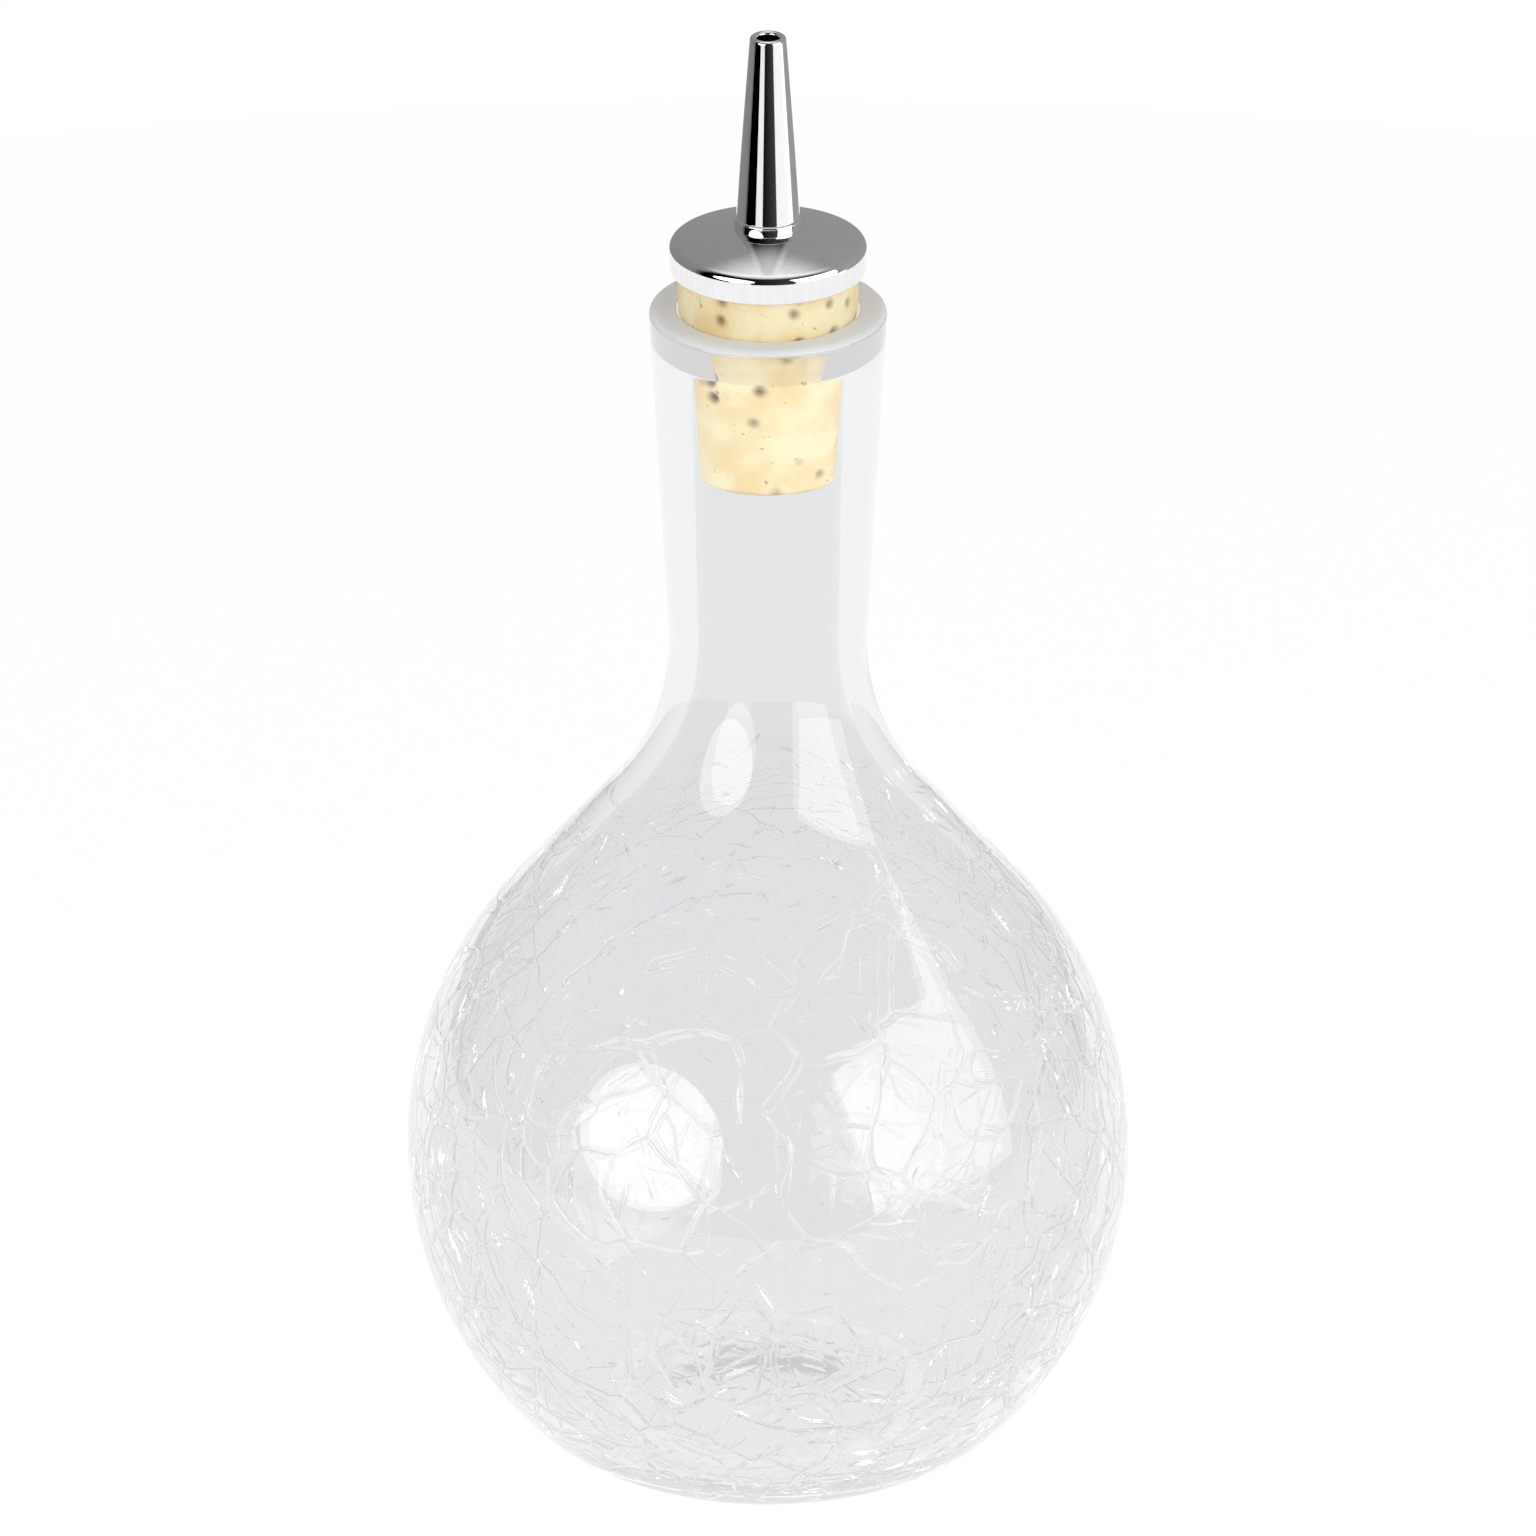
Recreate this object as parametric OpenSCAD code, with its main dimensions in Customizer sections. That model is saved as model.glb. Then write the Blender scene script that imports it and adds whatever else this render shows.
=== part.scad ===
// Bitters bottle: a blown glass globe with a drawn neck and a ground rim, closed by a
// natural cork that carries a domed metal cap, a tapered dashing spout and a pour tube.
// Millimetres, +Z up. The origin is the centre of the ring that the glass stands on.

/* [Glass body] */
// Widest diameter of the globe
body_d = 90.4; // [80:0.1:104]
// Height of the widest place above the table
belly_z = 38.5; // [35:0.1:44]
// Radius of the arc from the widest place up to the shoulder
crown_arc_r = 50.6; // [46:0.1:56]
// Radius of the arc from the widest place down to the heel
skirt_arc_r = 49; // [46:0.1:56]
// Radius of the heel, where the side turns under
heel_r = 15; // [11:0.1:18]
// Lean of the straight shoulder away from upright, in degrees
shoulder_angle = 40.5; // [36:0.1:45]
// Radius of the hollow sweep from shoulder to neck
sweep_r = 32.4; // [24:0.1:40]
// Height of the glass, from the table to the ground rim
glass_h = 152; // [140:0.5:165]
// Thickness of the blown wall
wall_t = 3; // [2:0.1:4]
// Thickness of the glass under the contents
floor_t = 5; // [3:0.1:8]
// Width of the ring that the glass stands on
ring_w = 3.2; // [2:0.1:5]
// Height of the pushed-up centre of the base
punt_h = 3.5; // [2:0.1:5]

/* [Neck and rim] */
// Outer diameter of the neck at the rim
rim_d = 29; // [26:0.1:32]
// Lean of the outside of the neck, in degrees: it widens towards the rim
neck_lean = 3.1; // [2:0.1:4]
// Rounding of the outer edge of the rim
rim_round = 1; // [0.5:0.1:1.5]
// Diameter of the ground mouth at the rim
mouth_d = 22.3; // [21:0.1:23.5]
// Depth of the ground cone that the cork seats in
mouth_depth = 6; // [4:0.1:9]
// Bore diameter just under the ground cone
bore_d = 18.4; // [17.6:0.1:19.4]
// Lean of the bore, in degrees: it narrows downwards
bore_lean = 1.1; // [0.5:0.1:1.6]

/* [Cork] */
// Height of cork that stands above the glass rim
cork_show = 5; // [3:0.1:8]
// Length of cork below the glass rim
cork_reach = 21; // [16:0.1:28]
// Diameter of the lower end of the cork
cork_foot_d = 16.4; // [15.2:0.1:16.8]
// Rounding of the lower edge of the cork
cork_round = 0.8; // [0.4:0.1:1.5]
// Gap all round between cork and glass
cork_gap = 0.15; // [0.1:0.01:0.4]

/* [Metal cap] */
// Diameter of the cap
cap_d = 24; // [22:0.1:27]
// Height of the upright side of the cap
cap_side_h = 2.7; // [1.5:0.1:4]
// Rounding between the side and the domed top
cap_round = 1.1; // [0.5:0.1:2]
// Radius of the domed top
cap_dome_r = 30; // [24:0.5:50]
// Rounding of the lower edge of the cap
cap_lip_round = 0.3; // [0.1:0.05:0.6]

/* [Spout and pour tube] */
// Height of the spout above its seat on the cap
spout_h = 24.6; // [18:0.1:32]
// Diameter of the spout's cone just above its foot
spout_base_d = 8; // [7:0.1:9.5]
// Diameter of the spout's cone at the tip
spout_tip_d = 4.4; // [4.2:0.1:5.4]
// How far the foot ring stands out beyond the cone
foot_proud = 0.2; // [0.1:0.05:0.5]
// Height of the foot ring
foot_h = 1.3; // [0.8:0.1:2]
// Diameter of the spigot that holds the spout in the cap
spigot_d = 5.8; // [5.4:0.1:6.4]
// Outer diameter of the pour tube
tube_d = 4; // [3.6:0.1:4.4]
// Bore through the spout and the pour tube
flow_d = 2.8; // [2:0.1:3]
// Depth of the tube's socket in the spigot
socket_depth = 4; // [2:0.1:5]
// How far the pour tube stops short of the lower end of the cork
tube_short = 0.5; // [0:0.1:2]
// Gap all round in each pressed or glued seat
seat_gap = 0.02; // [0.01:0.01:0.05]

/* [Hidden] */

// A turned piece with more segments than this reads as truly round
$fn = 96;
// Largest turn between two neighbouring points of an arc, in degrees
arc_step = 3;
// Extra length of a cut, so that it passes clean through a face
cut_over = 1;
// Rounding of small machined edges
edge_round = 0.3;
// Width of the flat that is left round the foot ring
land_margin = 0.15;

// Heights of the seats, worked up from the table
rim_z = glass_h;
cap_z = rim_z + cork_show;
cork_foot_z = rim_z - cork_reach;
cap_corner_z = cap_z + cap_side_h;
foot_r = spout_base_d / 2 + foot_proud;
land_r = foot_r + land_margin;

// Centre of the dome that the cap's top is part of
cap_dome_z = cap_corner_z - leg(cap_dome_r - cap_round, cap_d / 2 - cap_round);
spout_z = cap_dome_z + leg(cap_dome_r, land_r);
spout_tip_z = spout_z + spout_h;
tube_top_z = cap_z + socket_depth;
tube_foot_z = cork_foot_z + tube_short;

// Directions in the profile plane, as [radius, height]
function aim(angle) = [cos(angle), sin(angle)];
// Second leg of a right triangle
function leg(hypotenuse, side) = sqrt(hypotenuse * hypotenuse - side * side);
// Points of an arc from one angle to another, both ends included
function arc(centre, r, from, to) =
    let (n = max(1, ceil(abs(to - from) / arc_step)))
    [for (i = [0 : n]) centre + r * aim(from + (to - from) * i / n)];
// Place where a line from p along u meets a line from q along v
function crossing(p, u, q, v) =
    p + u * ((q[0] - p[0]) * v[1] - (q[1] - p[1]) * v[0]) / (u[0] * v[1] - u[1] * v[0]);
function reversed(points) = [for (i = [len(points) - 1 : -1 : 0]) points[i]];

// One skin of the glass, from the middle of the base up to the neck. The outer skin is
// drawn with no inset, the inner one a wall further in and a floor higher up. The neck
// is a line that leans by lean degrees through the point neck_at.
function skin(inset, floor_z, neck_at, lean) =
    let (
        crown = [body_d / 2 - crown_arc_r, belly_z],
        skirt = [body_d / 2 - skirt_arc_r, belly_z],
        crown_r = crown_arc_r - inset,
        skirt_r = skirt_arc_r - inset,
        turn_r = heel_r - inset,
        turn_z = floor_z + turn_r,
        turn = [skirt[0] + leg(skirt_r - turn_r, belly_z - turn_z), turn_z],
        turn_end = atan2(turn_z - belly_z, turn[0] - skirt[0]),
        up_shoulder = aim(shoulder_angle + 90),
        down_neck = aim(-90 - lean),
        shoulder_at = crown + crown_r * aim(shoulder_angle),
        corner = crossing(shoulder_at, up_shoulder, neck_at, down_neck),
        blend_r = sweep_r + inset,
        setback = blend_r * tan((shoulder_angle + lean) / 2),
        blend = corner - up_shoulder * setback + blend_r * aim(shoulder_angle)
    )
    concat(
        punt(turn[0] - ring_w, floor_z),
        arc(turn, turn_r, -90, turn_end),
        arc(skirt, skirt_r, turn_end, 0),
        arc(crown, crown_r, 0, shoulder_angle),
        arc(blend, blend_r, 180 + shoulder_angle, 180 - lean)
    );

// Bell curve of the pushed-up base: level in the middle and where it joins the ring
function punt(r, floor_z) =
    [for (turn = [0 : 4 * arc_step : 180])
        [r * turn / 180, floor_z + punt_h * (1 + cos(turn)) / 2]];

// The rim, with its outer edge rounded and its inner edge just broken
function rim() =
    let (
        outer = [rim_d / 2 - rim_round, rim_z - rim_round],
        mouth_r = mouth_d / 2
    )
    concat(
        arc(outer, rim_round, -neck_lean, 90),
        [[mouth_r + edge_round, rim_z], [mouth_r, rim_z - edge_round]]
    );

module bottle() {
    seat = [bore_d / 2, rim_z - mouth_depth];
    neck_top = [rim_d / 2, rim_z - rim_round];
    color([0.84, 0.90, 0.92, 0.45])
        rotate_extrude()
            polygon(concat(
                skin(0, 0, neck_top, neck_lean),
                rim(),
                [seat],
                reversed(skin(wall_t, floor_t, seat, bore_lean))
            ));
}

// The cork bulges out above the rim, follows the ground cone with the cork's gap, and
// tapers down to its foot. The pour tube runs through it.
module cork() {
    head_r = mouth_d / 2 - cork_gap;
    seat = [bore_d / 2 - cork_gap, rim_z - mouth_depth];
    foot_r = cork_foot_d / 2;
    color([0.87, 0.77, 0.55])
        difference() {
            rotate_extrude()
                polygon(concat(
                    [[0, cap_z], [head_r, cap_z], [head_r, rim_z - edge_round], seat],
                    arc([foot_r - cork_round, cork_foot_z + cork_round], cork_round, 0, -90),
                    [[0, cork_foot_z]]
                ));
            bore(tube_d / 2 + seat_gap, cork_foot_z, cap_z);
        }
}

// Turned cap: upright side, rounded corner, domed top and a flat land for the spout
module cap_disc() {
    corner = [cap_d / 2 - cap_round, cap_corner_z];
    lip = [cap_d / 2 - cap_lip_round, cap_z + cap_lip_round];
    dome = [0, cap_dome_z];
    color([0.74, 0.75, 0.77])
        difference() {
            rotate_extrude()
                polygon(concat(
                    [[0, cap_z]],
                    arc(lip, cap_lip_round, -90, 0),
                    arc(corner, cap_round, 0, acos(corner[0] / (cap_dome_r - cap_round))),
                    arc(dome, cap_dome_r,
                        acos(corner[0] / (cap_dome_r - cap_round)), acos(land_r / cap_dome_r)),
                    [[0, spout_z]]
                ));
            bore(spigot_d / 2 + seat_gap, cap_z, spout_z);
        }
}

// Spout: rounded tip, long cone, foot ring on the cap and a spigot down through it
module spout() {
    tip_r = spout_tip_d / 2;
    tip_round = (tip_r - flow_d / 2) / 2;
    tip = [tip_r - tip_round, spout_tip_z - tip_round];
    spigot_r = spigot_d / 2;
    color([0.74, 0.75, 0.77])
        difference() {
            rotate_extrude()
                polygon(concat(
                    [[0, cap_z], [spigot_r, cap_z], [spigot_r, spout_z], [foot_r, spout_z]],
                    arc([foot_r - foot_proud, spout_z + foot_h - foot_proud], foot_proud, 0, 90),
                    arc(tip, tip_round, 0, 90),
                    [[0, spout_tip_z]]
                ));
            bore(flow_d / 2, cap_z, spout_tip_z);
            bore(tube_d / 2 + seat_gap, cap_z, tube_top_z, 0);
        }
}

// Pour tube: pressed into the spigot's socket and glued into the cork
module pour_tube() {
    color([0.66, 0.67, 0.69])
        difference() {
            translate([0, 0, tube_foot_z])
                cylinder(h = tube_top_z - tube_foot_z, d = tube_d);
            bore(flow_d / 2, tube_foot_z, tube_top_z);
        }
}

// A round hole on the axis from one height to another; its top passes the face by over
module bore(r, from_z, to_z, over = cut_over) {
    translate([0, 0, from_z - cut_over])
        cylinder(h = to_z + over - from_z + cut_over, r = r);
}

bottle();
cork();
cap_disc();
spout();
pour_tube();
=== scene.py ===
"""Looks of a crackle-glass bottle and its pouring stopper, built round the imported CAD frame"""

import math

import bmesh
import bpy
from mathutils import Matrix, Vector, noise


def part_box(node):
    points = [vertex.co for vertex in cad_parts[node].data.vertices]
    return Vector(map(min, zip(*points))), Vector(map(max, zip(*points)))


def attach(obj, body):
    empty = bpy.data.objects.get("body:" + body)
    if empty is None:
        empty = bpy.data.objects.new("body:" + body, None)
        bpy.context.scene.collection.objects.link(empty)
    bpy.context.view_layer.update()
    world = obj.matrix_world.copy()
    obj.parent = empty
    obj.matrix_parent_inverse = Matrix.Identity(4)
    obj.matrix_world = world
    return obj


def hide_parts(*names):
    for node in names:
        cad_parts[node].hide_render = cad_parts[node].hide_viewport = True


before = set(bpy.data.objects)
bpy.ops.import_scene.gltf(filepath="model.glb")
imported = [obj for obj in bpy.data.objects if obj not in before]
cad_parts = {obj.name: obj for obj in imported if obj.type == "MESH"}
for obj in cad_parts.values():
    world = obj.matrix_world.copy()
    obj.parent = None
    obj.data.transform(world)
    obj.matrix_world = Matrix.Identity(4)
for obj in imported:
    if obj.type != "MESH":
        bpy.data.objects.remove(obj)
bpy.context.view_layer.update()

bl_info = {
    "name": "Crackle Bottle",
    "version": (1, 0, 0),
    "blender": (4, 5, 0),
    "location": "View3D > Sidebar > Bottle",
    "description": "Builds a crackle-glass bottle with a cork and chrome pouring stopper",
    "category": "Add Mesh",
}

# One millimetre in the scene's metres
MM = 0.001
# Corners of the boxes of the nodes that the pieces below stand for or meet
BOTTLE_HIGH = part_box("bottle")[1]
CORK_LOW, CORK_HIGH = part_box("cork")
CAP_LOW, CAP_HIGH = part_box("cap_disc")
SPOUT_LOW, SPOUT_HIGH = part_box("spout")
TUBE_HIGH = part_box("pour_tube")[1]

# White cards beyond the table's edge, which the spout shows as stripes.
# Each has its first and last azimuth in degrees, and they fade over a few degrees.
WHITE_CARDS = ((-46, -18), (30, 103))
CARD_FADE = 3
# The two softboxes: name, shape, azimuth and elevation in degrees, width and height in metres
SOFTBOXES = (
    ("softbox_left", "ELLIPSE", -40, 17, 0.8, 0.62),
    ("softbox_right", "RECTANGLE", 58, 20, 0.9, 0.75),
)
# Bounces after which the glass shows a painted glow in place of further light, and the level of
# that glow
LONGEST_PATH = 5.5
PAINTED_GLOW_LEVEL = 0.7
# How strongly glass bends light
GLASS_IOR = 1.51
# Share of the table's look that is its own glow, and the glow's level
TABLE_GLOW = 0.9
GLOW_LEVEL = 1.035
# Largest lean of a crack's long side towards a face of the wall, in radians
CRACK_LEAN = 0.15


# Kinds of settings

def length(name, text, metres):
    """A size in metres"""
    return bpy.props.FloatProperty(
        name=name, description=text, default=metres, unit="LENGTH", precision=5
    )


def turn_angle(name, text, degrees):
    """An angle, written in degrees and kept in radians"""
    return bpy.props.FloatProperty(
        name=name, description=text, default=math.radians(degrees), unit="ROTATION"
    )


def amount(name, text, value):
    """A plain number"""
    return bpy.props.FloatProperty(name=name, description=text, default=value, precision=4)


def count(name, text, value):
    """A whole number"""
    return bpy.props.IntProperty(name=name, description=text, default=value, min=1)


def shade(name, text, red, green, blue):
    """A colour"""
    return bpy.props.FloatVectorProperty(
        name=name, description=text, default=(red, green, blue), subtype="COLOR", size=3
    )


class GlassSizes(bpy.types.PropertyGroup):
    """Sizes of the blown bottle"""

    body_r: length("Body radius", "Outer radius of the globe", BOTTLE_HIGH.x)
    belly_z: length("Belly height", "Height of the widest place", 38.5 * MM)
    crown_r: length("Crown arc", "Radius of the outline above the belly", 50.6 * MM)
    skirt_r: length("Skirt arc", "Radius of the outline below the belly", 49 * MM)
    heel_r: length("Heel arc", "Radius that turns the side into the foot ring", 15 * MM)
    shoulder: turn_angle("Shoulder angle", "Where the globe meets the neck sweep", 40.5)
    sweep_r: length("Neck sweep", "Radius of the hollow curve into the neck", 32.4 * MM)
    rim_z: length("Height", "Height of the glass", BOTTLE_HIGH.z)
    wall: length("Wall", "Thickness of the wall", 3 * MM)
    floor: length("Floor", "Thickness of the base", 5 * MM)
    ring: length("Foot ring", "Width of the ring it stands on", 3.2 * MM)
    punt: length("Punt", "Rise of the pushed-up base", 3.5 * MM)
    rim_r: length("Rim radius", "Outer radius of the rim", 14.5 * MM)
    neck_lean: turn_angle("Neck lean", "Taper of the neck outside", 3.1)
    rim_round: length("Rim rounding", "Rounding of the rim's outer edge", 1 * MM)
    mouth_r: length("Mouth radius", "Radius of the ground mouth at the top", 11.15 * MM)
    mouth_depth: length("Mouth depth", "Depth of the ground cone", 6 * MM)
    bore_r: length("Bore radius", "Radius of the neck's bore", 9.2 * MM)
    bore_lean: turn_angle("Bore lean", "Taper of the bore", 1.1)
    edge: length("Edge", "Break of the mouth's edge", 0.3 * MM)
    segments: count("Segments", "Faces round the glass", 208)
    crackle_top: length("Crackle height", "Height that the cracks reach", 90 * MM)
    crack_gap: length("Crack spacing", "Least distance between two cracks", 4.2 * MM)
    crack_long: length("Crack length", "Length of the longest crack", 6 * MM)
    crack_deep: length("Crack depth", "Depth of the deepest crack in the wall", 1.9 * MM)
    crack_wide: length("Crack width", "Opening of the widest crack", 0.08 * MM)
    crack_seed: count("Crack seed", "Start of the cracks' random places", 11)


class StopperSizes(bpy.types.PropertyGroup):
    """Sizes of the cork, cap and spout"""

    cork_gap: length("Cork gap", "Room between the cork and the ground mouth", 0.15 * MM)
    cork_foot_r: length("Cork foot", "Radius of the cork's lower end", 8.2 * MM)
    cork_round: length("Cork rounding", "Rounding of the lower end", 0.8 * MM)
    cork_pit: length("Pit depth", "Depth of the deepest pit in the cork", 0.5 * MM)
    cap_r: length("Cap radius", "Outer radius of the cap", CAP_HIGH.x)
    cap_side: length("Cap side", "Height of the cap's upright side", 2.7 * MM)
    cap_round: length("Cap rounding", "Rounding between the side and the dome", 1.1 * MM)
    cap_lip: length("Cap lip", "Rounding of the cap's lower edge", 0.3 * MM)
    dome_r: length("Dome radius", "Radius of the cap's domed top", 30 * MM)
    foot_r: length("Foot radius", "Radius of the spout's foot ring", 4.2 * MM)
    foot_round: length("Foot rounding", "Rounding of the foot ring", 0.2 * MM)
    foot_h: length("Foot height", "Height of the foot ring", 1.3 * MM)
    land: length("Land", "Width of the flat round the foot ring", 0.15 * MM)
    base_r: length("Spout base", "Radius of the cone above its foot ring", 4 * MM)
    tip_r: length("Tip radius", "Radius of the spout's tip", 2.2 * MM)
    flow_r: length("Bore", "Radius of the hole that pours", 1.4 * MM)
    spigot_r: length("Spigot radius", "Radius of the spigot through the cap", 2.9 * MM)
    socket_r: length("Socket radius", "Radius of the socket for the tube", 2.02 * MM)
    seat_gap: length("Seat gap", "Room round the spigot", 0.02 * MM)
    segments: count("Segments", "Faces round each piece", 176)


class Finishes(bpy.types.PropertyGroup):
    """Colours and finishes"""

    glass: shade("Glass", "Colour that the glass lets through", 0.885, 0.895, 0.902)
    ground: shade("Ground glass", "Colour of the ground face of the rim", 0.90, 0.91, 0.91)
    cork_pale: shade("Cork, pale", "Lightest cork", 0.88, 0.77, 0.50)
    cork_gold: shade("Cork, gold", "Middle cork", 0.80, 0.60, 0.30)
    cork_dark: shade("Cork, pits", "Cork inside its pits", 0.13, 0.065, 0.025)
    chrome: shade("Chrome", "Colour of the chrome", 0.90, 0.90, 0.91)
    steel: shade("Steel", "Colour of the pour tube", 0.62, 0.62, 0.64)


class Studio(bpy.types.PropertyGroup):
    """Table, lamps and camera"""

    table_r: length("Table", "Radius of the white table", 0.45)
    shell_r: length("Studio", "Distance of the studio walls that the metal shows", 1.3)
    lamp_far: length("Lamp distance", "Distance of the two softboxes", 0.9)
    lamp_level: amount("Lamp level", "Brightness of the softboxes' faces", 2.1)
    fill_level: amount("Fill level", "Light from all round", 0.5)
    camera_far: length("Camera distance", "Distance along the table", 1.38582)
    camera_up: length("Camera height", "Height above the table", 0.73103)
    camera_down: turn_angle("Camera tilt", "How far down the camera looks", 24.82)
    camera_lens: amount("Lens", "Focal length in millimetres", 289.2)


# Nodes

def put(tree, kind, feeds=None, **settings):
    """Adds a node with its settings, and feeds its inputs from sockets or plain values"""
    made = tree.nodes.new(kind)
    for name, value in settings.items():
        setattr(made, name, value)
    for key, value in (feeds or {}).items():
        if isinstance(value, bpy.types.NodeSocket):
            tree.links.new(value, made.inputs[key])
        else:
            made.inputs[key].default_value = value
    return made


def calculate(tree, operation, first, second=0.0, third=0.0):
    """A Math node's result"""
    feeds = {0: first, 1: second, 2: third}
    return put(tree, "ShaderNodeMath", feeds, operation=operation).outputs[0]


def whole(tree, operation, first, second):
    """An Integer Math node's result"""
    feeds = {0: first, 1: second}
    return put(tree, "FunctionNodeIntegerMath", feeds, operation=operation).outputs[0]


def ramp(tree, value, low, high, to_low=0.0, to_high=1.0):
    """A smooth step from one value to another"""
    feeds = {
        "Value": value,
        "From Min": low,
        "From Max": high,
        "To Min": to_low,
        "To Max": to_high,
    }
    made = put(tree, "ShaderNodeMapRange", feeds, interpolation_type="SMOOTHSTEP")
    return made.outputs["Result"]


def cloud(tree, place, scale, detail=2.0):
    """A Noise node, whose scale is in waves a metre"""
    return put(tree, "ShaderNodeTexNoise", {"Vector": place, "Scale": scale, "Detail": detail})


def blend_colour(tree, share, first, second):
    """A mix of two colours, each a socket or three parts"""
    # The Mix node has its share first, and its two colours and colour result further on
    share_in, first_in, second_in, colour_out = 0, 6, 7, 2
    feeds = {share_in: share}
    for socket, colour in ((first_in, first), (second_in, second)):
        plain = not isinstance(colour, bpy.types.NodeSocket)
        feeds[socket] = (*colour, 1.0) if plain else colour
    return put(tree, "ShaderNodeMix", feeds, data_type="RGBA").outputs[colour_out]


def mix_shaders(tree, share, first, second):
    """A mix of two shaders"""
    feeds = {0: share, 1: first, 2: second}
    return put(tree, "ShaderNodeMixShader", feeds).outputs[0]


def darker(colour, share):
    """A colour with its parts scaled down"""
    return tuple(part * share for part in colour)


def new_group(name, kind, inputs, outputs):
    """A node group with named sockets, and its two end nodes"""
    tree = bpy.data.node_groups.new(name, kind)
    for label, socket, value in inputs:
        made = tree.interface.new_socket(label, in_out="INPUT", socket_type=socket)
        if value is not None:
            made.default_value = value
    for label, socket in outputs:
        tree.interface.new_socket(label, in_out="OUTPUT", socket_type=socket)
    return tree, tree.nodes.new("NodeGroupInput"), tree.nodes.new("NodeGroupOutput")


# Geometry trees

def lathe_tree():
    """Turns a profile line about the Z axis, and merges the seam and the poles"""
    tree, start, end = new_group(
        "Lathe",
        "GeometryNodeTree",
        (
            ("Profile", "NodeSocketGeometry", None),
            ("Segments", "NodeSocketInt", 96),
            ("Merge", "NodeSocketFloat", 0.001 * MM),
            ("Material", "NodeSocketMaterial", None),
        ),
        (("Geometry", "NodeSocketGeometry"),),
    )
    tree.is_modifier = True
    profile = start.outputs["Profile"]
    segments = start.outputs["Segments"]
    rows = put(tree, "GeometryNodeAttributeDomainSize", {"Geometry": profile})
    columns = whole(tree, "ADD", segments, 1)
    grid = put(
        tree,
        "GeometryNodeMeshGrid",
        {"Vertices X": rows.outputs["Point Count"], "Vertices Y": columns},
    )
    index = put(tree, "GeometryNodeInputIndex").outputs[0]
    place = put(
        tree,
        "GeometryNodeSampleIndex",
        {
            "Geometry": profile,
            "Value": put(tree, "GeometryNodeInputPosition").outputs[0],
            "Index": whole(tree, "DIVIDE_FLOOR", index, columns),
        },
        data_type="FLOAT_VECTOR",
    )
    parts = put(tree, "ShaderNodeSeparateXYZ", {0: place.outputs[0]})
    share = calculate(tree, "DIVIDE", whole(tree, "MODULO", index, columns), segments)
    angle = calculate(tree, "MULTIPLY", share, math.tau)
    x = calculate(tree, "MULTIPLY", parts.outputs[0], calculate(tree, "COSINE", angle))
    y = calculate(tree, "MULTIPLY", parts.outputs[0], calculate(tree, "SINE", angle))
    spot = put(tree, "ShaderNodeCombineXYZ", {0: x, 1: y, 2: parts.outputs[2]})
    placed = put(
        tree,
        "GeometryNodeSetPosition",
        {"Geometry": grid.outputs["Mesh"], "Position": spot.outputs[0]},
    )
    merged = put(
        tree,
        "GeometryNodeMergeByDistance",
        {"Geometry": placed.outputs[0], "Distance": start.outputs["Merge"]},
    )
    smooth = put(tree, "GeometryNodeSetShadeSmooth", {"Geometry": merged.outputs[0]})
    real = put(tree, "GeometryNodeRealizeInstances", {"Geometry": smooth.outputs[0]})
    finished = put(
        tree,
        "GeometryNodeSetMaterial",
        {"Geometry": real.outputs[0], "Material": start.outputs["Material"]},
    )
    tree.links.new(finished.outputs[0], end.inputs[0])
    return tree


def random_vector(tree, low, high, seed):
    """A random vector for each point, between two others"""
    low_in, high_in, seed_in = 0, 1, 8
    feeds = {low_in: low, high_in: high, seed_in: seed}
    made = put(tree, "FunctionNodeRandomValue", feeds, data_type="FLOAT_VECTOR")
    return made.outputs[0]


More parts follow.
